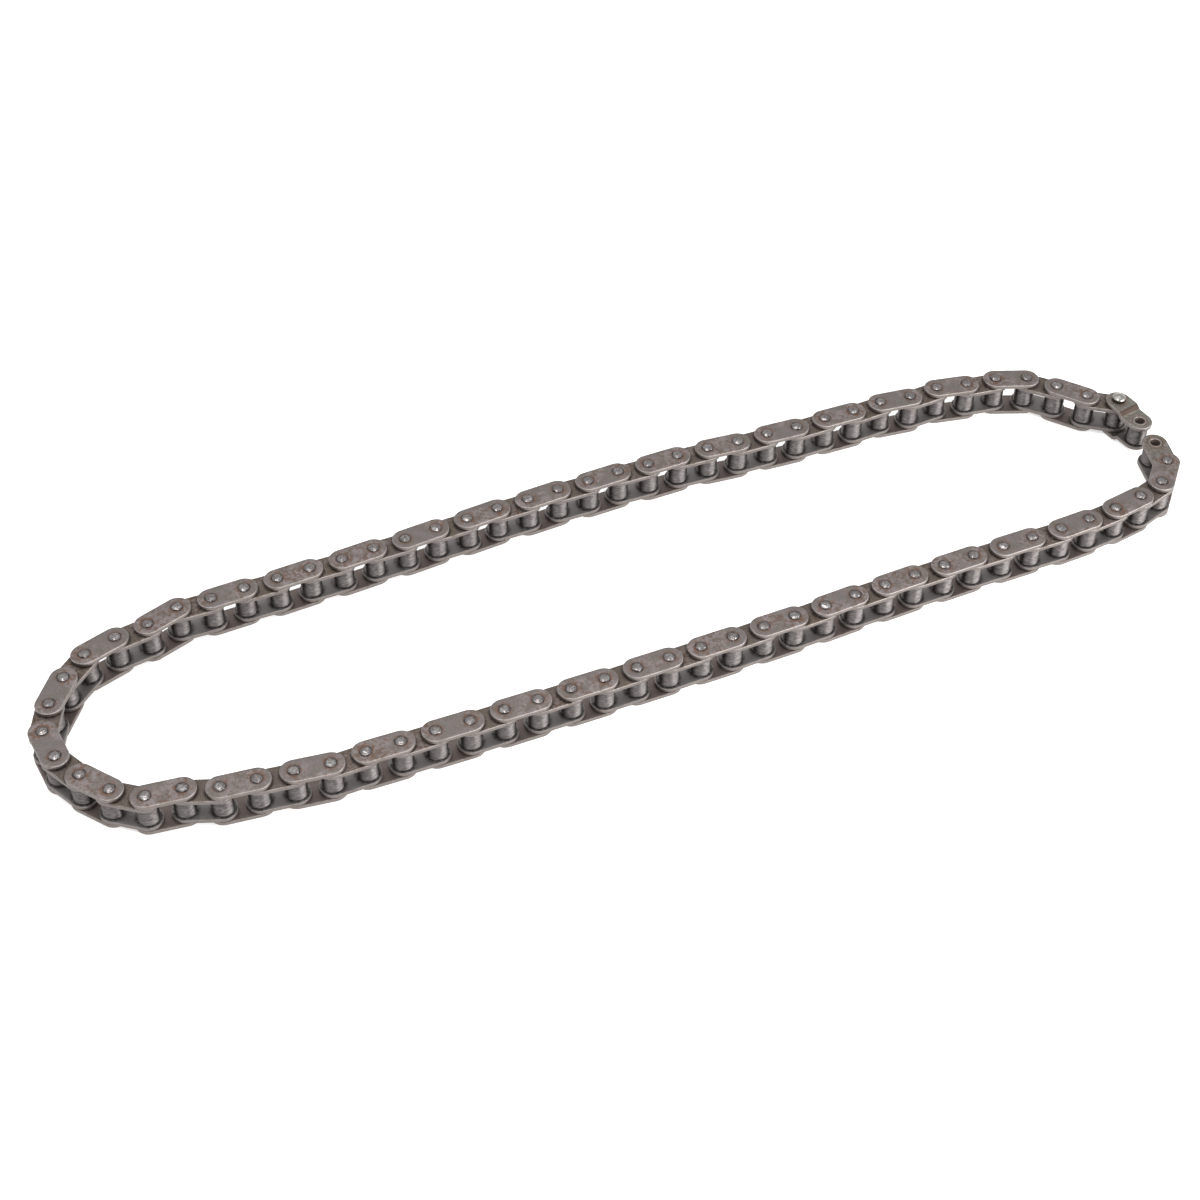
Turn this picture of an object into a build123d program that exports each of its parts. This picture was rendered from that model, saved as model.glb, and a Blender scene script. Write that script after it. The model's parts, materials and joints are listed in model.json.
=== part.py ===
from build123d import *
import os
from math import cos, radians, sin

os.makedirs("parts", exist_ok=True)

# Standard proportions of the chain, in millimetres
pitch = 19.05
inner_width = 12.57
roller_diameter = 11.91
roller_edge = 0.4
pin_diameter = 5.94
bush_wall = 1.2
plate_height = 15.2
plate_thickness = 2.4
plate_edge = 0.35

# Riveted pin heads, and the domed head that only the offset link's pin has
head_height = 1.2
head_spread = 0.3
head_edge = 0.35
dome_diameter = 7.8
dome_height = 3.8
dome_skirt = 2.2

# Clearances
pin_play = 0.05
roller_play = 0.06
roller_end_play = 0.15
side_play = 0.2
press_gap = 0.01

# The offset link's plates step outwards between the two joints
crank_clearance = 0.3
crank_length = 3.2
crank_bend = 2.2

# The chain has an offset link, then inner and outer links by turns, and ends on an inner link
link_pairs = 37
loose_pairs = [1, 2, 3, 16, 17, 18, 19, 20, 21, 22, 35, 36, 37]

# How the chain lies, seen from above and followed from the offset link's open end. Each stretch is
# its number of joints, the turn at each joint in degrees, and a swing that the joints of the
# stretch add and take away by turns.
first_heading = 100.5
stretches = [
    (1, 44.0, 0),
    (1, -15.0, 0),
    (1, 5.0, 0),
    (1, 24.5, 0),
    (1, 13.0, 0),
    (1, -3.0, 0),
    (1, 14.0, 0),
    (1, -9.5, 0),
    (1, 9.0, 0),
    (6, -0.9, -3),
    (8, 0.6, 3),
    (8, -0.4, 3),
    (1, 20.0, 0),
    (1, -10.0, 0),
    (1, 9.0, 0),
    (1, 23.0, 0),
    (2, 13.0, 0),
    (1, 29.5, 0),
    (1, 21.5, 0),
    (1, 9.5, 0),
    (1, 16.5, 0),
    (1, 29.5, 0),
    (1, -13.5, 0),
    (1, 14.0, 0),
    (2, -0.5, 0),
    (2, 3.0, 5.5),
    (13, 0.2, 1),
    (8, -0.4, 1),
    (3, 3.4, 0),
    (1, 8.0, 0),
    (2, 30.0, 0),
]

# Sizes that follow from the ones above
pin_radius = pin_diameter / 2
bush_bore = pin_radius + pin_play
bush_radius = bush_bore + bush_wall
roller_length = inner_width - 2 * roller_end_play
bush_length = inner_width + 2 * plate_thickness
width_over_plates = bush_length + 2 * side_play + 2 * plate_thickness
middle = head_height + width_over_plates / 2
inner_plate_foot = middle + inner_width / 2
outer_plate_foot = inner_plate_foot + plate_thickness + side_play
plate_top = middle + width_over_plates / 2
last_joint = 2 * link_pairs + 2


# The joints on the table, with the loop's box centred on the origin
def follow_stretches():
    turns = [turn + (-1) ** n * swing for count, turn, swing in stretches for n in range(count)]
    headings = [first_heading]
    for turn in turns:
        headings.append(headings[-1] + turn)
    points = [(0.0, 0.0)]
    for heading in headings:
        x, y = points[-1]
        points.append((x + pitch * cos(radians(heading)), y + pitch * sin(radians(heading))))
    return points, headings


def centred(points):
    xs = [x for x, y in points]
    ys = [y for x, y in points]
    middle_x = (min(xs) + max(xs)) / 2
    middle_y = (min(ys) + max(ys)) / 2
    return [(x - middle_x, y - middle_y) for x, y in points]


route, headings = follow_stretches()
joints = centred(route)


# One of each piece, on a link whose first joint is at the origin and whose second is along +X
def flat_plate(foot, hole_radius):
    with BuildPart() as plate:
        with BuildSketch(Plane.XY.offset(foot)):
            with Locations((pitch / 2, 0)):
                SlotCenterToCenter(pitch, plate_height)
            with Locations((0, 0), (pitch, 0)):
                Circle(hole_radius, mode=Mode.SUBTRACT)
        extrude(amount=plate_thickness)
        ends = plate.faces().filter_by(Axis.Z)
        chamfer([face.outer_wire().edges() for face in ends], plate_edge)
    return plate.part


def cranked_plate():
    step_start = pitch - plate_height / 2 - crank_clearance - crank_length
    low = inner_plate_foot + plate_thickness / 2
    high = outer_plate_foot + plate_thickness / 2
    with BuildPart() as plate:
        with BuildSketch(Plane.XZ):
            with BuildLine():
                FilletPolyline(
                    (-plate_height, low),
                    (step_start, low),
                    (step_start + crank_length, high),
                    (pitch + plate_height, high),
                    radius=crank_bend,
                )
            trace(line_width=plate_thickness)
        extrude(amount=plate_height, both=True)
        with BuildSketch(Plane.XY.offset(middle)):
            with Locations((pitch / 2, 0)):
                SlotCenterToCenter(pitch, plate_height)
        extrude(amount=width_over_plates, mode=Mode.INTERSECT)
        with BuildSketch(Plane.XY.offset(middle)):
            Circle(bush_radius + press_gap)
            with Locations((pitch, 0)):
                Circle(pin_radius + press_gap)
        extrude(amount=width_over_plates, mode=Mode.SUBTRACT)
    return plate.part


def riveted_pin():
    with BuildPart() as pin:
        with BuildSketch():
            Circle(pin_radius)
        extrude(amount=plate_top + head_height)
        with BuildSketch(Plane.XY, Plane.XY.offset(plate_top)):
            Circle(pin_radius + head_spread)
        extrude(amount=head_height)
        rims = pin.edges().filter_by(GeomType.CIRCLE).sort_by(Axis.Z)
        chamfer([rims[0], rims[-1]], head_edge)
    return pin.part


def domed_pin():
    head_radius = pin_radius + head_spread
    dome_radius = dome_diameter / 2
    with BuildPart() as pin:
        with BuildSketch(Plane.XZ):
            with BuildLine():
                shank = Polyline(
                    (0, 0),
                    (head_radius - head_edge, 0),
                    (head_radius, head_edge),
                    (head_radius, head_height),
                    (pin_radius, head_height),
                    (pin_radius, plate_top),
                    (dome_radius, plate_top),
                    (dome_radius, plate_top + dome_skirt),
                )
                dome = TangentArc((0, plate_top + dome_height), shank @ 1, tangent=(1, 0))
                Line(dome @ 0, shank @ 0)
            make_face()
        revolve(axis=Axis.Z)
    return pin.part


def tube(outer_radius, bore_radius, length, edge=0):
    with BuildPart() as ring:
        with BuildSketch(Plane.XY.offset(middle - length / 2)):
            Circle(outer_radius)
            Circle(bore_radius, mode=Mode.SUBTRACT)
        extrude(amount=length)
        if edge:
            rims = ring.edges().filter_by(GeomType.CIRCLE).group_by(SortBy.RADIUS)[-1]
            chamfer(rims, edge)
    return ring.part


def under(upper_piece):
    with BuildPart() as lower:
        mirror(upper_piece, about=Plane.XY.offset(middle))
    return lower.part


outer_plate = flat_plate(outer_plate_foot, pin_radius + press_gap)
inner_plate = flat_plate(inner_plate_foot, bush_radius + press_gap)
offset_plate = cranked_plate()
outer_plate_under = under(outer_plate)
inner_plate_under = under(inner_plate)
offset_plate_under = under(offset_plate)
link_pin = riveted_pin()
offset_pin = domed_pin()
bush = tube(bush_radius, bush_bore, bush_length)
roller = tube(roller_diameter / 2, bush_radius + roller_play, roller_length, roller_edge)


# Placing: a link lies from its first joint along its heading
def on_link(piece, first):
    x, y = joints[first]
    return piece.moved(Location((x, y, 0), (0, 0, headings[first])))


def at_joint(piece, joint):
    x, y = joints[joint]
    return piece.moved(Location((x, y, 0), (0, 0, headings[min(joint, last_joint - 1)])))


def inner_link(first):
    plates = [on_link(inner_plate, first), on_link(inner_plate_under, first)]
    bushes = [at_joint(bush, first), at_joint(bush, first + 1)]
    rollers = [at_joint(roller, first), at_joint(roller, first + 1)]
    return plates + bushes + rollers


def outer_link(first):
    plates = [on_link(outer_plate, first), on_link(outer_plate_under, first)]
    return plates + [at_joint(link_pin, first), at_joint(link_pin, first + 1)]


def write(name, pieces):
    node = pieces[0] if len(pieces) == 1 else Compound(children=pieces)
    node.label = name
    export_step(node, f"parts/{name}.step")


# The offset link that closes the loop, with its open bush at joint 0 and its pin at joint 1
write("offset_plate_upper", [on_link(offset_plate, 0)])
write("offset_plate_lower", [on_link(offset_plate_under, 0)])
write("offset_bush", [at_joint(bush, 0)])
write("offset_roller", [at_joint(roller, 0)])
write("offset_pin", [at_joint(offset_pin, 1)])

# The run of chain, a pair of links at a time
for pair in range(1, link_pairs + 1):
    inner_first = 2 * pair - 1
    if pair in loose_pairs:
        write(f"inner_link_{pair:02d}", inner_link(inner_first))
        write(f"outer_link_{pair:02d}", outer_link(inner_first + 1))
    else:
        write(f"link_pair_{pair:02d}", inner_link(inner_first) + outer_link(inner_first + 1))

# The inner link at the other end, whose last bush is open
write("end_plate_upper", [on_link(inner_plate, last_joint - 1)])
write("end_plate_lower", [on_link(inner_plate_under, last_joint - 1)])
write("end_bushes", [at_joint(bush, last_joint - 1), at_joint(bush, last_joint)])
write("end_roller_near", [at_joint(roller, last_joint - 1)])
write("end_roller_open", [at_joint(roller, last_joint)])
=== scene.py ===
import json
import math
import random

import bmesh
import bpy
from mathutils import Matrix, Vector


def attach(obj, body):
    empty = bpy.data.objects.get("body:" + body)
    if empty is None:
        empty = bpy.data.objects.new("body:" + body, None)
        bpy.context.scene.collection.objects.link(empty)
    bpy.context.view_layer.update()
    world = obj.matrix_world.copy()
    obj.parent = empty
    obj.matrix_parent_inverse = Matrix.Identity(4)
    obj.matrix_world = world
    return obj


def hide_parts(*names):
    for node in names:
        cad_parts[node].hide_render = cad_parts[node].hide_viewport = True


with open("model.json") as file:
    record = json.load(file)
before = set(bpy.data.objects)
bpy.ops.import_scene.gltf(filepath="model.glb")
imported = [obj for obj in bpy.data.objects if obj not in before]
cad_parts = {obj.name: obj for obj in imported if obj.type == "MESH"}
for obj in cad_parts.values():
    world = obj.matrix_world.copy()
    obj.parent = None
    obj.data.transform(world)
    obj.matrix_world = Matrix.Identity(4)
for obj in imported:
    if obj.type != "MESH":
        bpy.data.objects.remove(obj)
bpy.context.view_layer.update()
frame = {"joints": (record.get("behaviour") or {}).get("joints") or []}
mm = 0.001

# the run of chain as it lies: joints and headings, in mm and degrees
chain = {
    "pitch": 19.05,
    "linkPairs": 37,
    "loosePairs": (1, 2, 3, 16, 17, 18, 19, 20, 21, 22, 35, 36, 37),
    "firstHeading": 100.5,
    # joints in the stretch, turn at each, swing added and taken away by turns
    "stretches": (
        (1, 44, 0), (1, -15, 0), (1, 5, 0), (1, 24.5, 0), (1, 13, 0), (1, -3, 0),
        (1, 14, 0), (1, -9.5, 0), (1, 9, 0), (6, -0.9, -3), (8, 0.6, 3), (8, -0.4, 3),
        (1, 20, 0), (1, -10, 0), (1, 9, 0), (1, 23, 0), (2, 13, 0), (1, 29.5, 0),
        (1, 21.5, 0), (1, 9.5, 0), (1, 16.5, 0), (1, 29.5, 0), (1, -13.5, 0), (1, 14, 0),
        (2, -0.5, 0), (2, 3, 5.5), (13, 0.2, 1), (8, -0.4, 1), (3, 3.4, 0), (1, 8, 0),
        (2, 30, 0),
    ),
    "innerWidth": 12.57,
    "sidePlay": 0.2,
    "pressGap": 0.01,
}


def followStretches():
    headings = [chain["firstHeading"]]
    for count, turn, swing in chain["stretches"]:
        for n in range(count):
            headings.append(headings[-1] + turn + (-1) ** n * swing)
    points = [Vector((0, 0, 0))]
    for heading in headings:
        a = math.radians(heading)
        points.append(points[-1] + chain["pitch"] * Vector((math.cos(a), math.sin(a), 0)))
    low = Vector((min(p.x for p in points), min(p.y for p in points), 0))
    high = Vector((max(p.x for p in points), max(p.y for p in points), 0))
    return [p - (low + high) / 2 for p in points], headings


joints, headings = followStretches()
lastJoint = 2 * chain["linkPairs"] + 2
# the chain laid out here has to meet the frame's hinges
pinned = {j["name"]: Vector(j["pos_m"]) for j in frame["joints"]}
misses = [
    (joints[int(name[4:])] * mm - place).xy.length
    for name, place in pinned.items() if name.startswith("pin_")
]
print(f"chain laid out: {len(joints)} joints, furthest from its hinge {max(misses) / mm:.4f} mm")


# sizes of each kind of piece, in mm
plate = {
    "height": 15.2,
    "thickness": 2.4,
    "rollover": 0.62,  # the punch leaves one edge well rounded
    "burrEdge": 0.28,  # and the other nearly sharp
    "holeEdge": 0.22,
    "edgeSteps": 4,
    "arcSteps": 26,
    "sideSteps": 5,
    "middleSteps": 8,
    "ringSteps": 3,
}
crank = {
    "clearance": 0.3,
    "length": 3.2,
    "bend": 2.2,
    "slices": 18,
}
pin = {
    "diameter": 5.94,
    "headHeight": 1.2,
    "headSpread": 0.3,
    "steps": 36,
    "headProfile": (  # radius and depth under the top, to where its straight side starts
        (0, 0), (0.6, 0), (1.2, 0), (1.7, 0.01), (2.05, 0.06),
        (2.35, 0.2), (2.65, 0.4), (2.95, 0.6), (3.15, 0.76),
    ),
    "headSide": (0.92, 1.06),
    "flats": (4, 7),  # hammer flats on a head, their slopes and their distances from its middle
    "slopes": (0.25, 0.8),
    "starts": (1.1, 2.3),
    "deepest": 0.75,
    "sides": (4, 6),  # straight stretches of a rim and their distances, as shares of its radius
    "reaches": (0.83, 0.95),
    "scatter": (0.35, 0.2),  # how unevenly the flats and the sides lie, as shares of a step
    "sharpAngle": 17,
    "domeDiameter": 7.8,
    "domeHeight": 3.8,
    "domeSkirt": 2.2,
    "domeSteps": 12,
    "skirtEdge": (0.12, 0.15),  # how far its edges are rounded, inwards and along Z
}
bush = {"wall": 1.2, "pinPlay": 0.05, "edge": 0.2, "steps": 40}
roller = {
    "diameter": 11.91,
    "bushPlay": 0.06,
    "endPlay": 0.15,
    "edge": 0.55,
    "boreEdge": 0.2,
    "steps": 48,
}

pinRadius = pin["diameter"] / 2
bushBore = pinRadius + bush["pinPlay"]
bushRadius = bushBore + bush["wall"]
bushLength = chain["innerWidth"] + 2 * plate["thickness"]
widthOverPlates = bushLength + 2 * chain["sidePlay"] + 2 * plate["thickness"]
middle = pin["headHeight"] + widthOverPlates / 2
innerFoot = middle + chain["innerWidth"] / 2
outerFoot = innerFoot + plate["thickness"] + chain["sidePlay"]
plateTop = middle + widthOverPlates / 2
pinHole = pinRadius + chain["pressGap"]
bushHole = bushRadius + chain["pressGap"]
crankStart = chain["pitch"] - plate["height"] / 2 - crank["clearance"] - crank["length"]


# shapes: lists of vertices in mm and faces, on a link whose first joint is the origin
def plateSection(holeRadius, foot):
    # rings of points from the hole out to the rim of half a plate, then over the edge
    radius = plate["height"] / 2
    half = chain["pitch"] / 2

    def around(inset):
        r = radius - inset
        run = [(half * (1 - n / plate["sideSteps"]), -r) for n in range(plate["sideSteps"])]
        for n in range(plate["arcSteps"] + 1):
            a = -math.pi / 2 - math.pi * n / plate["arcSteps"]
            run.append((r * math.cos(a), r * math.sin(a)))
        run += [(half * n / plate["sideSteps"], r) for n in range(1, plate["sideSteps"] + 1)]
        return run

    def across(inset):
        r = radius - inset
        steps = plate["middleSteps"]
        return [(half, r * (1 - 2 * n / steps)) for n in range(1, steps)]

    top = foot + plate["thickness"]
    verts, faces = [], []

    def addRing(points, height):
        first = len(verts)
        verts.extend((x, y, height) for x, y in points)
        return list(range(first, len(verts)))

    def band(one, other, closed):
        pairs = range(len(one)) if closed else range(len(one) - 1)
        for n in pairs:
            m = (n + 1) % len(one)
            faces.append((one[n], one[m], other[m], other[n]))

    def onHole(points, r):
        return [(r * x / math.hypot(x, y), r * y / math.hypot(x, y)) for x, y in points]

    def surface(inset, height, wide):
        # a flat face; gives the ring at the rim, the ring at the hole and the outline it spans
        outline = around(inset) + across(inset)
        ring = addRing(outline, height)
        rings = [ring]
        inner = onHole(outline, wide)
        for k in range(1, plate["ringSteps"]):
            t = k / plate["ringSteps"]
            between = [(x + (u - x) * t, y + (v - y) * t) for (x, y), (u, v) in zip(outline, inner)]
            rings.append(addRing(between, height))
        rings.append(addRing(inner, height))
        for one, other in zip(rings, rings[1:]):
            band(one, other, True)
        return ring[:len(around(inset))], rings[-1], outline

    big, small, edge = plate["rollover"], plate["burrEdge"], plate["holeEdge"]
    wide = holeRadius + edge
    upperRim, upperHole, outline = surface(big, top, wide)
    lowerRim, lowerHole, _ = surface(small, foot, wide)
    rims = [upperRim]
    for k in range(1, plate["edgeSteps"] + 1):
        a = math.pi / 2 * k / plate["edgeSteps"]
        rims.append(addRing(around(big * (1 - math.sin(a))), top - big * (1 - math.cos(a))))
    for k in range(plate["edgeSteps"] // 2):
        a = math.pi / 2 * k / (plate["edgeSteps"] // 2)
        rims.append(addRing(around(small * (1 - math.cos(a))), foot + small * (1 - math.sin(a))))
    rims.append(lowerRim)
    for one, other in zip(rims, rims[1:]):
        band(one, other, False)
    wall = [upperHole]
    for height in (top - edge, foot + edge):
        wall.append(addRing(onHole(outline, holeRadius), height))
    wall.append(lowerHole)
    for one, other in zip(wall, wall[1:]):
        band(one, other, True)
    return verts, faces


def flatPlate(foot, firstHole, secondHole):
    verts, faces = plateSection(firstHole, foot)
    others, otherFaces = plateSection(secondHole, foot)
    shift = len(verts)
    verts += [(chain["pitch"] - x, -y, z) for x, y, z in others]
    faces += [tuple(n + shift for n in face) for face in otherFaces]
    return tidied(verts, faces)


def tidied(verts, faces, cuts=()):
    # joins points that meet, cuts across X where asked and turns all faces outwards
    bm = bmesh.new()
    made = [bm.verts.new(v) for v in verts]
    for face in faces:
        bm.faces.new([made[n] for n in face])
    bmesh.ops.remove_doubles(bm, verts=bm.verts[:], dist=1e-4)
    for x in cuts:
        whole = bm.verts[:] + bm.edges[:] + bm.faces[:]
        bmesh.ops.bisect_plane(bm, geom=whole, plane_co=(x, 0, 0), plane_no=(1, 0, 0))
    bmesh.ops.recalc_face_normals(bm, faces=bm.faces[:])
    bm.verts.index_update()
    out = [tuple(v.co) for v in bm.verts], [tuple(v.index for v in f.verts) for f in bm.faces]
    bm.free()
    return out


def crankRise(x):
    # height of the middle of a cranked plate above its low end, and its slope there
    bend = crank["bend"]
    rise = outerFoot - innerFoot
    slope = math.atan2(rise, crank["length"])
    reach = bend * math.tan(slope / 2)
    span = bend * math.sin(slope)
    end = crankStart + crank["length"]
    if x <= crankStart - reach:
        return 0, 0
    if x >= end + reach:
        return rise, 0
    if x < crankStart - reach + span:
        u = x - (crankStart - reach)
        return bend - math.sqrt(bend ** 2 - u * u), math.asin(u / bend)
    if x > end + reach - span:
        u = end + reach - x
        return rise - bend + math.sqrt(bend ** 2 - u * u), math.asin(u / bend)
    return (x - crankStart) * math.tan(slope), slope


def crankedPlate():
    # a flat plate, cut across where it bends and then bent
    start = crankStart - crank["bend"]
    span = crank["length"] + 2 * crank["bend"]
    cuts = [start + span * n / crank["slices"] for n in range(crank["slices"] + 1)]
    verts, faces = tidied(*flatPlate(innerFoot, bushHole, pinHole), cuts)
    core = innerFoot + plate["thickness"] / 2
    bent = []
    for x, y, z in verts:
        rise, slope = crankRise(x)
        above = z - core
        bent.append((x - above * math.sin(slope), y, core + rise + above * math.cos(slope)))
    return bent, faces


def lathe(profile, steps, change=None):
    # turns (radius, height) points round Z; a profile that starts on the axis is closed with a fan
    verts, faces, rings = [], [], []
    for r, z in profile:
        first = len(verts)
        count = 1 if r == 0 else steps
        for n in range(count):
            a = 2 * math.pi * n / steps
            point = (r * math.cos(a), r * math.sin(a), z)
            verts.append(change(point) if change else point)
        rings.append(list(range(first, first + count)))
    closed = profile[0][0] > 0
    pairs = list(zip(rings, rings[1:])) + ([(rings[-1], rings[0])] if closed else [])
    for one, other in pairs:
        for n in range(steps):
            m = (n + 1) % steps
            corners = (
                one[n % len(one)], one[m % len(one)], other[m % len(other)], other[n % len(other)],
            )
            faces.append(tuple(dict.fromkeys(corners)))
    return tidied(verts, faces)


def rivetedPin(seed):
    # each head is hammered by hand: flats at random angles, and a rim with straight stretches
    rng = random.Random(seed)

    def turned(n, count, scatter):
        return 2 * math.pi * (n + rng.uniform(-scatter, scatter)) / count

    def flatAt(n, count):
        turn = turned(n, count, flatScatter)
        return turn, rng.uniform(*pin["slopes"]), rng.uniform(*pin["starts"])

    flatScatter, sideScatter = pin["scatter"]
    flats = {}
    for side in (1, -1):
        count = rng.randint(*pin["flats"])
        flats[side] = [flatAt(n, count) for n in range(count)]
    count = rng.randint(*pin["sides"])
    first = rng.uniform(0, 2 * math.pi)
    sides = [
        (first + turned(n, count, sideScatter), rng.uniform(*pin["reaches"])) for n in range(count)
    ]
    top = plateTop + pin["headHeight"]
    spread = pinRadius + pin["headSpread"]

    def hammered(point):
        x, y, z = point
        r = math.hypot(x, y)
        side = 1 if z > middle else -1
        depth = abs(z - middle)
        # the shank and the middle of each head's top stay as they are
        if depth < plateTop - middle + 0.01 or r < 0.01:
            return point
        a = math.atan2(y, x)
        for turn, reach in sides:
            facing = math.cos(a - turn)
            if facing > 0.5:
                r = min(r, spread * reach / facing)
        lower = max(slope * (r * math.cos(a - turn) - start) for turn, slope, start in flats[side])
        lower = max(0, lower)
        share = (depth - (plateTop - middle)) / pin["headHeight"]
        depth -= min(lower, pin["deepest"]) * share
        return r * math.cos(a), r * math.sin(a), middle + side * depth

    half = [(r, top - depth) for r, depth in pin["headProfile"]]
    half += [(spread, top - depth) for depth in pin["headSide"]]
    half += [(spread - 0.07, plateTop + 0.03), (pinRadius, plateTop)]
    profile = half + [(r, 2 * middle - z) for r, z in reversed(half)]
    return lathe(profile, pin["steps"], hammered)


def domedPin():
    radius = pin["domeDiameter"] / 2
    rise = pin["domeHeight"] - pin["domeSkirt"]
    ball = (radius ** 2 + rise ** 2) / (2 * rise)
    reach = math.asin(radius / ball)
    dome = []
    for n in range(pin["domeSteps"]):
        a = reach * n / pin["domeSteps"]
        dome.append((ball * math.sin(a), plateTop + pin["domeHeight"] - ball * (1 - math.cos(a))))
    skirtTop = plateTop + pin["domeSkirt"]
    wide, high = pin["skirtEdge"]
    skirt = [
        (radius - wide, skirtTop + 0.04), (radius, skirtTop - high),
        (radius, plateTop + high), (radius - wide, plateTop + 0.01), (pinRadius, plateTop),
    ]
    head = pinRadius + pin["headSpread"]
    foot = [
        (pinRadius, pin["headHeight"]), (head, pin["headHeight"] - 0.05), (head, 0.45),
        (head - 0.12, 0.18), (head - 0.45, 0.03), (head - 0.9, 0), (0, 0),
    ]
    return lathe(dome + skirt + foot, 2 * pin["steps"])


def tubeProfile(outer, bore, length, edge, boreEdge):
    # a rounded outer edge in three steps and a bevelled bore, the same at both ends
    half = length / 2
    upper = []
    for n in range(4):
        a = math.pi / 2 * n / 3
        upper.append((outer - edge * (1 - math.cos(a)), half - edge * (1 - math.sin(a))))
    upper += [(bore + boreEdge, half), (bore, half - boreEdge)]
    return [(r, middle + z) for r, z in upper] + [(r, middle - z) for r, z in reversed(upper)]


def bushTube():
    profile = tubeProfile(bushRadius, bushBore, bushLength, bush["edge"], bush["edge"])
    return lathe(profile, bush["steps"])


def rollerTube():
    length = chain["innerWidth"] - 2 * roller["endPlay"]
    bore = bushRadius + roller["bushPlay"]
    profile = tubeProfile(roller["diameter"] / 2, bore, length, roller["edge"], roller["boreEdge"])
    return lathe(profile, roller["steps"])


def mirrored(shape):
    verts, faces = shape
    return [(x, y, 2 * middle - z) for x, y, z in verts], [tuple(reversed(face)) for face in faces]


shapes = {
    "outerPlate": flatPlate(outerFoot, pinHole, pinHole),
    "innerPlate": flatPlate(innerFoot, bushHole, bushHole),
    "offsetPlate": crankedPlate(),
    "bush": bushTube(),
    "roller": rollerTube(),
    "domedPin": domedPin(),
}
print("shapes made:", {name: len(faces) for name, (verts, faces) in shapes.items()})


def linear(hexColour):
    parts = [int(hexColour[n:n + 2], 16) / 255 for n in (0, 2, 4)]
    return tuple(c / 12.92 if c <= 0.04045 else ((c + 0.055) / 1.055) ** 2.4 for c in parts) + (1,)


def addNode(tree, kind, settings=None, inputs=None):
    # inputs are values or sockets, by name or number
    node = tree.nodes.new(kind)
    for name, value in (settings or {}).items():
        setattr(node, name, value)
    for name, value in (inputs or {}).items():
        if isinstance(value, bpy.types.NodeSocket):
            tree.links.new(value, node.inputs[name])
        else:
            node.inputs[name].default_value = value
    return node


def startMaterial(name):
    material = bpy.data.materials.new(name)
    material.use_nodes = True
    tree = material.node_tree
    tree.nodes.clear()
    shader = addNode(tree, "ShaderNodeBsdfPrincipled")
    addNode(tree, "ShaderNodeOutputMaterial", inputs={0: shader.outputs[0]})
    return material, tree, shader


def addFields(tree, patterns):
    # what the paint can follow: places on the piece in mm, and patterns of a size in mm
    edges = addNode(tree, "ShaderNodeAttribute", {"attribute_name": "edges"})
    edges = addNode(tree, "ShaderNodeSeparateXYZ", inputs={0: edges.outputs["Vector"]})
    place = addNode(tree, "ShaderNodeAttribute", {"attribute_name": "place"}).outputs["Vector"]
    along = addNode(tree, "ShaderNodeSeparateXYZ", inputs={0: place}).outputs[0]
    fields = {"place": place, "along": along}
    fields.update(zip(("fromJoint", "fromRim", "fromMiddle"), edges.outputs))
    coords = addNode(tree, "ShaderNodeTexCoord").outputs["Object"]
    for pattern, (size, detail, roughness, stretch) in patterns.items():
        vector = addNode(tree, "ShaderNodeMapping", inputs={"Vector": coords, "Scale": stretch})
        noise = addNode(tree, "ShaderNodeTexNoise", inputs={
            "Vector": vector.outputs[0], "Scale": 1 / (size * mm),
            "Detail": detail, "Roughness": roughness,
        })
        fields[pattern] = noise.outputs[0]
    return fields


def paintLayers(tree, fields, hexColour, layers):
    # each layer has a colour, a strength and limits; a limit is a field, its value where the layer
    # is none and its value where the layer is full
    colour = linear(hexColour)
    for hexColour, share, *limits in layers:
        for field, none, full in limits:
            limit = addNode(tree, "ShaderNodeMapRange", {"interpolation_type": "SMOOTHSTEP"},
                            {"Value": fields[field], "From Min": none, "From Max": full})
            share = addNode(tree, "ShaderNodeMath", {"operation": "MULTIPLY"},
                            {0: share, 1: limit.outputs[0]}).outputs[0]
        colour = addNode(tree, "ShaderNodeMix", {"data_type": "RGBA"},
                         {0: share, 6: colour, 7: linear(hexColour)}).outputs[2]
    return colour


def addRoughness(tree, shader, pattern, roughness):
    low, high = roughness
    rough = addNode(tree, "ShaderNodeMath", {"operation": "MULTIPLY_ADD"},
                    {0: pattern, 1: high - low, 2: low})
    tree.links.new(rough.outputs[0], shader.inputs["Roughness"])


def addBump(tree, shader, height, bump):
    strength, depth = bump
    node = addNode(tree, "ShaderNodeBump", inputs={
        "Strength": strength, "Distance": depth * mm, "Height": height})
    tree.links.new(node.outputs[0], shader.inputs["Normal"])


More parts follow.
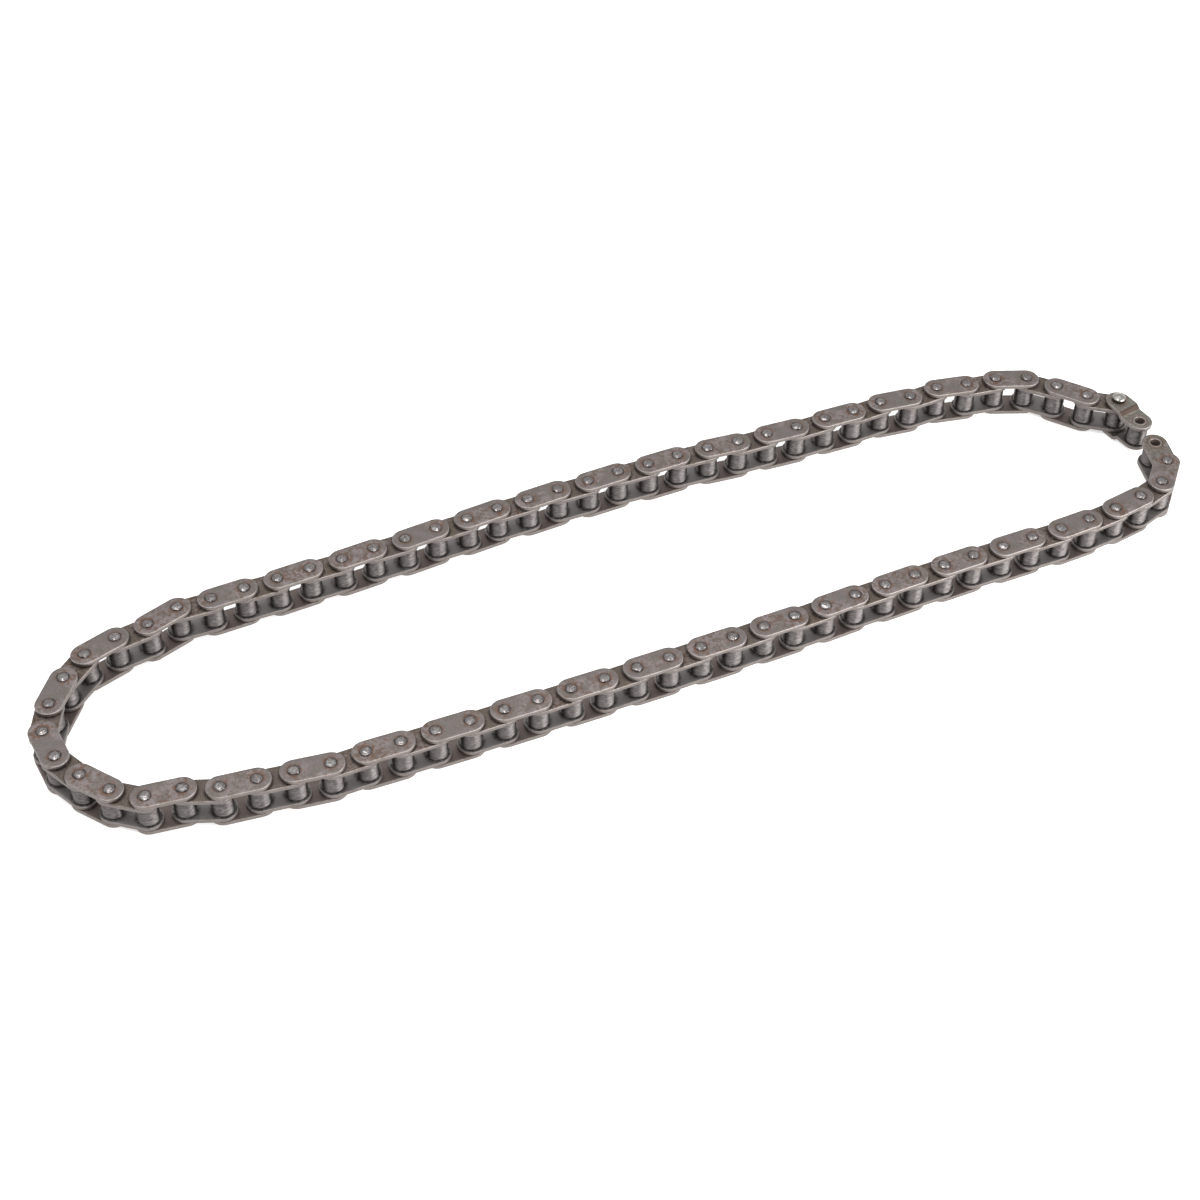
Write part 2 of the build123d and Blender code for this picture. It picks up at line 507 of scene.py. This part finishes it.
# rolled carbon steel plate, punched out and tumbled, then years in oil: dull grey metal with a
# brown tint, rubbed lighter on the rounded rims, where a painted highlight is added too, stained
# round the pins and greasy where plates overlap, the dark grease carrying painted shade as well
plateSteel = {
    "rubbedAndHighlight": "a09a97",
    "speck": "433b38",
    "olive": "6d6b5c",
    "rust": "6b4c38",
    "greaseAndShade": "2a2422",
    "wall": "706864",
    "patterns": {
        "broad": (24.0, 2, 0.5, (1, 1, 1)),
        "patch": (6.0, 5, 0.62, (1, 1, 1)),
        "smear": (1.9, 4, 0.6, (1, 1, 1)),
        "grain": (0.55, 3, 0.65, (1, 1, 1)),
    },
    "scratches": (2.5, 0.3, 0.125),  # per mm along, across and through the plate
    "stepShade": "40312a",
    "roughness": (0.38, 0.72),
    "metallic": 0.95,
    "bump": (0.6, 0.05),  # strength and depth in mm
}
plateKinds = {
    # ringFrom is where the rust, and the dark grease with painted shade, round the pin start;
    # inside is the tone of the face towards the rollers and its height over the chain's middle
    "outer": {
        "metal": "807877", "dark": "67605f", "stain": "5f4a3e", "specks": 0.35,
        "ringFrom": 3.3, "inside": ("6c615d", outerFoot - middle),
    },
    "inner": {
        "metal": "6f6662", "dark": "51453f", "stain": "4f392c", "specks": 0.7,
        "ringFrom": 4.3, "inside": ("84807f", innerFoot - middle),
    },
    "end": {
        "metal": "7b7773", "dark": "68635f", "stain": "5f5146", "specks": 0.3,
        "ringFrom": 4.3, "inside": ("84807f", innerFoot - middle),
    },
    "offset": {
        "metal": "7d7a75", "dark": "6c6864", "stain": "61564c", "specks": 0.25,
        "ringFrom": 3.9, "inside": ("6b6462", innerFoot - middle),
    },
}


def makePlateSteel(name, kind):
    look = plateKinds[kind]
    material, tree, shader = startMaterial(name)
    fields = addFields(tree, plateSteel["patterns"])
    # scratches run across the plate, as a belt leaves them
    stretched = addNode(tree, "ShaderNodeMapping", inputs={
        "Vector": fields["place"], "Scale": plateSteel["scratches"]})
    fields["scratch"] = addNode(tree, "ShaderNodeTexNoise", inputs={
        "Vector": stretched.outputs[0], "Scale": 1.0, "Detail": 2, "Roughness": 0.5}).outputs[0]
    ring = look["ringFrom"]
    layers = [
        (look["dark"], 1.0, ("patch", 0.6, 0.34)),
        (look["dark"], 0.7, ("broad", 0.55, 0.42)),
        (plateSteel["olive"], 0.22, ("patch", 0.56, 0.42)),
        (plateSteel["speck"], look["specks"], ("grain", 0.54, 0.7)),
        (plateSteel["rubbedAndHighlight"], 0.3, ("grain", 0.46, 0.3)),
        (plateSteel["rubbedAndHighlight"], 0.2, ("scratch", 0.55, 0.72)),
        (look["stain"], 0.75, ("smear", 0.46, 0.62), ("broad", 0.4, 0.58)),
        (plateSteel["rust"], 0.6, ("fromJoint", ring + 2.8, ring + 0.3), ("smear", 0.42, 0.58)),
        # dark grease at the foot of each pin head, also painted shade there
        (plateSteel["greaseAndShade"], 0.8, ("fromJoint", ring + 1.0, ring + 0.2), ("smear", 0.6, 0.4)),
    ]
    if kind == "inner":
        # grease squeezed out along the round ends of the outer plates, with painted shade where
        # they overlie this plate
        layers.append((plateSteel["greaseAndShade"], 0.75, ("fromJoint", 9.3, 7.7), ("smear", 0.25, 0.6)))
    if kind == "offset":
        # painted shade in brown on the outside of the step, up to its rubbed crest
        layers.append((plateSteel["stepShade"], 0.85, ("along", 7.3, 8.3), ("along", 11.3, 10.3),
                       ("fromMiddle", 8.0, 8.6)))
    # the face towards the rollers is wiped evenly, but for the grease round each roller, which also
    # paints shade there
    insideColour, insideHeight = look["inside"]
    inside = ("fromMiddle", insideHeight + 0.25, insideHeight + 0.05)
    layers += [
        (insideColour, 0.88, inside),
        (plateSteel["greaseAndShade"], 0.75, inside, ("fromJoint", 8.4, 6.2), ("smear", 0.25, 0.6)),
        # the rims: lighter where rubbed, and a painted highlight there as well
        (plateSteel["rubbedAndHighlight"], 0.6, ("fromRim", 0.55, 0.32), ("grain", 0.75, 0.42),
         ("patch", 0.3, 0.5)),
        (plateSteel["wall"], 0.8, ("fromRim", 0.12, 0.02)),
    ]
    colour = paintLayers(tree, fields, look["metal"], layers)
    height = addNode(tree, "ShaderNodeMath", {"operation": "MULTIPLY_ADD"},
                     {0: fields["scratch"], 1: 0.5, 2: fields["grain"]})
    tree.links.new(colour, shader.inputs["Base Color"])
    addRoughness(tree, shader, fields["patch"], plateSteel["roughness"])
    addBump(tree, shader, height.outputs[0], plateSteel["bump"])
    shader.inputs["Metallic"].default_value = plateSteel["metallic"]
    return material


# case-hardened pin steel, turned and hammered over: cooler than the plates, dented, with a dark
# ring of painted shade at the foot of its head
pinSteel = {
    "metal": "919090",
    "dark": "6c6868",
    "ring": "221d1b",
    "patterns": {"dent": (0.9, 4, 0.6, (1, 1, 1)), "broad": (11.0, 2, 0.5, (1, 1, 1))},
    "roughness": (0.22, 0.36),
    "bump": (0.8, 0.12),
}


def makePinSteel(name):
    material, tree, shader = startMaterial(name)
    fields = addFields(tree, pinSteel["patterns"])
    foot = widthOverPlates / 2
    colour = paintLayers(tree, fields, pinSteel["metal"], [
        (pinSteel["dark"], 1.0, ("dent", 0.66, 0.4)),
        (pinSteel["dark"], 0.6, ("broad", 0.56, 0.42)),
        (plateSteel["rust"], 0.25, ("dent", 0.5, 0.38)),
        # painted shade round the foot of the head
        (pinSteel["ring"], 0.85, ("fromMiddle", foot + 0.62, foot + 0.15), ("fromJoint", 2.4, 3.0),
         ("dent", 0.35, 0.55)),
    ])
    tree.links.new(colour, shader.inputs["Base Color"])
    addRoughness(tree, shader, fields["dent"], pinSteel["roughness"])
    addBump(tree, shader, fields["dent"], pinSteel["bump"])
    shader.inputs["Metallic"].default_value = 1
    return material


# forged cap on the offset link's pin: brighter and smoother than the riveted heads, over a skirt
# darkened with painted shade
capSteel = {
    "metal": "979692",
    "worn": "77726a",
    "skirt": "312c2a",
    "patterns": {"wear": (1.8, 4, 0.6, (1, 1, 1))},
    "roughness": 0.26,
}


def makeCapSteel(name):
    material, tree, shader = startMaterial(name)
    fields = addFields(tree, capSteel["patterns"])
    skirtTop = widthOverPlates / 2 + pin["domeSkirt"]
    colour = paintLayers(tree, fields, capSteel["metal"], [
        (capSteel["worn"], 0.5, ("wear", 0.45, 0.65)),
        # painted shade on the skirt below the dome
        (capSteel["skirt"], 0.8, ("fromMiddle", skirtTop + 0.1, skirtTop - 0.5)),
    ])
    tree.links.new(colour, shader.inputs["Base Color"])
    shader.inputs["Roughness"].default_value = capSteel["roughness"]
    shader.inputs["Metallic"].default_value = 1
    return material


# drawn bush steel, burnished by the pin: a bright ring at each end and an oily bore
bushSteel = {
    "metal": "7c7673",
    "oil": "7d6c5f",
    "patterns": {"film": (1.6, 4, 0.6, (1, 1, 1))},
    "roughness": 0.35,
    "metallic": 0.6,  # dirt covers much of it
}


def makeBushSteel(name):
    material, tree, shader = startMaterial(name)
    fields = addFields(tree, bushSteel["patterns"])
    mouth = bushLength / 2
    colour = paintLayers(tree, fields, bushSteel["metal"], [
        (plateSteel["rust"], 0.5, ("film", 0.4, 0.65)),
        (bushSteel["oil"], 0.9, ("fromJoint", bushBore + 0.25, bushBore + 0.02),
         ("fromMiddle", mouth + 0.1, mouth - 0.6)),
    ])
    tree.links.new(colour, shader.inputs["Base Color"])
    shader.inputs["Roughness"].default_value = bushSteel["roughness"]
    shader.inputs["Metallic"].default_value = bushSteel["metallic"]
    return material


# through-hardened roller steel, rubbed round and round by the sprocket: the coolest metal here,
# with faint bands about its axis that draw its gloss out along the axis, and painted shade towards
# both ends, next to the plates
rollerSteel = {
    "metal": "a39f9e",
    "dull": "746f6e",
    "stain": "6e5a4c",
    "ends": "3a3432",
    "patterns": {"bands": (0.7, 4, 0.5, (0.25, 0.25, 1)), "mottle": (2.6, 3, 0.55, (1, 1, 1))},
    "roughness": 0.58,
    "anisotropic": 0.9,
    "bump": (0.2, 0.02),
}


def makeRollerSteel(name):
    material, tree, shader = startMaterial(name)
    fields = addFields(tree, rollerSteel["patterns"])
    colour = paintLayers(tree, fields, rollerSteel["metal"], [
        (rollerSteel["dull"], 1.0, ("bands", 0.68, 0.36)),
        (rollerSteel["stain"], 0.35, ("mottle", 0.52, 0.72)),
        # painted shade darkening the roller towards both ends
        (rollerSteel["ends"], 0.55, ("fromMiddle", 3.9, 6.1)),
    ])
    axis = addNode(tree, "ShaderNodeCombineXYZ", inputs={2: 1.0})
    addBump(tree, shader, fields["bands"], rollerSteel["bump"])
    tree.links.new(colour, shader.inputs["Base Color"])
    tree.links.new(axis.outputs[0], shader.inputs["Tangent"])
    shader.inputs["Anisotropic"].default_value = rollerSteel["anisotropic"]
    shader.inputs["Roughness"].default_value = rollerSteel["roughness"]
    shader.inputs["Metallic"].default_value = 1
    return material


materials = {
    "outerPlate": makePlateSteel("rolledPlateSteelOuter", "outer"),
    "innerPlate": makePlateSteel("rolledPlateSteelInner", "inner"),
    "endPlate": makePlateSteel("rolledPlateSteelEnd", "end"),
    "offsetPlate": makePlateSteel("rolledPlateSteelOffset", "offset"),
    "pin": makePinSteel("hammeredPinSteel"),
    "cap": makeCapSteel("forgedCapSteel"),
    "bush": makeBushSteel("drawnBushSteel"),
    "roller": makeRollerSteel("polishedRollerSteel"),
}
print("materials made:", len(materials))


# pieces: one mesh for the like parts of a link, put where the link lies
def jointMatrix(joint):
    # the last joint has no link of its own and lies along the link before it
    heading = math.radians(headings[min(joint, lastJoint - 1)])
    return Matrix.Translation(joints[joint] * mm) @ Matrix.Rotation(heading, 4, "Z")


def buildPiece(name, parts, material, body, node, sharp=32):
    # parts are (shape, matrix) pairs; each point's place on its link goes along for the paint, with
    # its distances from the nearer joint, the plate's rim and the chain's middle
    verts, faces, places, edges = [], [], [], []
    for (points, polygons), matrix in parts:
        shift = len(verts)
        for x, y, z in points:
            verts.append(matrix @ (Vector((x, y, z)) * mm))
            places.extend((x, y, z - middle))
            pastJoint = max(0, abs(x - chain["pitch"] / 2) - chain["pitch"] / 2)
            edges.append(min(math.hypot(x, y), math.hypot(x - chain["pitch"], y)))
            edges.append(plate["height"] / 2 - math.hypot(pastJoint, y))
            edges.append(abs(z - middle))
        faces.extend(tuple(n + shift for n in polygon) for polygon in polygons)
    mesh = bpy.data.meshes.new(name)
    mesh.from_pydata(verts, [], faces)
    mesh.attributes.new("place", "FLOAT_VECTOR", "POINT").data.foreach_set("vector", places)
    mesh.attributes.new("edges", "FLOAT_VECTOR", "POINT").data.foreach_set("vector", edges)
    mesh.shade_smooth()
    mesh.set_sharp_from_angle(angle=math.radians(sharp))
    mesh.materials.append(materials[material])
    piece = bpy.data.objects.new(name, mesh)
    bpy.context.scene.collection.objects.link(piece)
    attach(piece, body)
    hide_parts(node)
    return piece


def addInnerLink(first, body, node):
    here = jointMatrix(first)
    ends = [jointMatrix(first), jointMatrix(first + 1)]
    plates = [(shapes["innerPlate"], here), (mirrored(shapes["innerPlate"]), here)]
    bushes = [(shapes["bush"], end) for end in ends]
    rollers = [(shapes["roller"], end) for end in ends]
    buildPiece(f"innerPlates_{first:02d}", plates, "innerPlate", body, node)
    buildPiece(f"bushes_{first:02d}", bushes, "bush", body, node)
    buildPiece(f"rollers_{first:02d}", rollers, "roller", body, node)


def addOuterLink(first, body, node):
    here = jointMatrix(first)
    plates = [(shapes["outerPlate"], here), (mirrored(shapes["outerPlate"]), here)]
    pins = [(rivetedPin(joint), jointMatrix(joint)) for joint in (first, first + 1)]
    buildPiece(f"outerPlates_{first:02d}", plates, "outerPlate", body, node)
    buildPiece(f"pins_{first:02d}", pins, "pin", body, node, pin["sharpAngle"])


for pair in range(1, chain["linkPairs"] + 1):
    inner, outer = 2 * pair - 1, 2 * pair
    if pair in chain["loosePairs"]:
        addInnerLink(inner, f"inner_link_{pair:02d}", f"inner_link_{pair:02d}")
        addOuterLink(outer, f"outer_link_{pair:02d}", f"outer_link_{pair:02d}")
    else:
        addInnerLink(inner, f"link_pair_{pair:02d}", f"link_pair_{pair:02d}")
        addOuterLink(outer, f"link_pair_{pair:02d}", f"link_pair_{pair:02d}")
print("run of chain built")


# the links at the two ends, piece by piece; name is a key of the materials too
def addEndPlates(name, matrix, body, node, shape):
    for side, parts in (("upper", [(shape, matrix)]), ("lower", [(mirrored(shape), matrix)])):
        buildPiece(f"{name}_{side}", parts, name, body, f"{node}_{side}")


def addFreeRoller(name, joint, node):
    parts = [(shapes["roller"], jointMatrix(joint))]
    buildPiece(name, parts, "roller", node, node)


def addOffsetLink():
    openEnd = jointMatrix(0)
    addEndPlates("offsetPlate", openEnd, "offset_link", "offset_plate", shapes["offsetPlate"])
    parts = [(shapes["bush"], openEnd)]
    buildPiece("offsetBush", parts, "bush", "offset_link", "offset_bush")
    addFreeRoller("offsetRoller", 0, "offset_roller")
    parts = [(shapes["domedPin"], jointMatrix(1))]
    buildPiece("offsetPin", parts, "cap", "offset_link", "offset_pin")


def addEndLink():
    near = lastJoint - 1
    addEndPlates("endPlate", jointMatrix(near), "end_link", "end_plate", shapes["innerPlate"])
    parts = [(shapes["bush"], jointMatrix(joint)) for joint in (near, lastJoint)]
    buildPiece("endBushes", parts, "bush", "end_link", "end_bushes")
    addFreeRoller("endRoller_near", near, "end_roller_near")
    addFreeRoller("endRoller_open", lastJoint, "end_roller_open")


addOffsetLink()
addEndLink()
print("both ends built")


# a seamless pale floor; the camera sees it white, and it keeps the soft shadow
floorLook = {"width": 12.0, "dropMm": 0.05, "colour": "f4f4f4", "roughness": 0.9, "glow": 0.55}


def addSeen(tree):
    # 1 for what looks at the background itself: the camera, metal and glass
    rays = addNode(tree, "ShaderNodeLightPath").outputs
    seen = rays["Is Camera Ray"]
    for ray in ("Is Glossy Ray", "Is Transmission Ray"):
        either = addNode(tree, "ShaderNodeMath", {"operation": "MAXIMUM"}, {0: seen, 1: rays[ray]})
        seen = either.outputs[0]
    return seen


def addFloor():
    mesh = bpy.data.meshes.new("floor")
    half = floorLook["width"] / 2
    corners = [(-half, -half, 0), (half, -half, 0), (half, half, 0), (-half, half, 0)]
    mesh.from_pydata(corners, [], [(0, 1, 2, 3)])
    floor = bpy.data.objects.new("floor", mesh)
    floor.location.z = -floorLook["dropMm"] * mm
    bpy.context.scene.collection.objects.link(floor)
    material, tree, shader = startMaterial("matteWhitePaper")
    shader.inputs["Base Color"].default_value = linear(floorLook["colour"])
    shader.inputs["Roughness"].default_value = floorLook["roughness"]
    shader.inputs["Emission Color"].default_value = (1, 1, 1, 1)
    glow = addNode(tree, "ShaderNodeMath", {"operation": "MULTIPLY"},
                   {0: addSeen(tree), 1: floorLook["glow"]})
    tree.links.new(glow.outputs[0], shader.inputs["Emission Strength"])
    mesh.materials.append(material)


addFloor()

# soft studio light: a white surround and large softboxes
lamps = {
    "overhead": {"place": (0.1, 0.35, 1.5), "aim": (0, 0, 0), "size": (1.6, 1.1), "watts": 6.5},
    "front": {"place": (-0.47, -0.45, 1.45), "aim": (0, 0, 0), "size": (0.7, 0.4), "watts": 10.5},
    "right": {"place": (0.7, -0.97, 0.42), "aim": (0.05, 0, 0), "size": (1.2, 0.5), "watts": 25},
    "left": {"place": (-1.07, 0.3, 1.05), "aim": (-0.1, 0, 0), "size": (0.4, 0.4), "watts": 1},
}
surround = {"light": 0.5, "seen": 1.0}


def addLamps():
    for name, lamp in lamps.items():
        data = bpy.data.lights.new(name, "AREA")
        data.shape = "RECTANGLE"
        data.size, data.size_y = lamp["size"]
        data.energy = lamp["watts"]
        light = bpy.data.objects.new(name, data)
        light.location = lamp["place"]
        aim = Vector(lamp["aim"]) - Vector(lamp["place"])
        light.rotation_euler = aim.to_track_quat("-Z", "Y").to_euler()
        bpy.context.scene.collection.objects.link(light)


def addSurround():
    world = bpy.data.worlds.new("paleStudio")
    world.use_nodes = True
    tree = world.node_tree
    tree.nodes.clear()
    mix = addNode(tree, "ShaderNodeMixShader", inputs={0: addSeen(tree)})
    for socket, use in enumerate(("light", "seen"), 1):
        white = addNode(tree, "ShaderNodeBackground", inputs={
            "Color": (1, 1, 1, 1), "Strength": surround[use]})
        tree.links.new(white.outputs[0], mix.inputs[socket])
    addNode(tree, "ShaderNodeOutputWorld", inputs={0: mix.outputs[0]})
    bpy.context.scene.world = world


addLamps()
addSurround()

# the photograph's view: a long lens, close to 46 degrees above the floor
cameraView = {
    "place": (-0.360915, -0.785314, 0.886316),
    "heading": -23.5,  # degrees from +Y, clockwise is negative
    "down": 45.904,
    "roll": 0.656,
    "lens": 65.49,
    "sensor": 36.0,
}


def addCamera():
    data = bpy.data.cameras.new("camera")
    data.lens = cameraView["lens"]
    data.sensor_width = cameraView["sensor"]
    camera = bpy.data.objects.new("camera", data)
    turn = Matrix.Rotation(math.radians(cameraView["heading"]), 4, "Z")
    tilt = Matrix.Rotation(math.radians(90 - cameraView["down"]), 4, "X")
    roll = Matrix.Rotation(math.radians(cameraView["roll"]), 4, "Z")
    camera.matrix_world = Matrix.Translation(cameraView["place"]) @ turn @ tilt @ roll
    bpy.context.scene.collection.objects.link(camera)
    bpy.context.scene.camera = camera


addCamera()
bpy.context.scene.view_settings.view_transform = "Standard"
print("studio set")
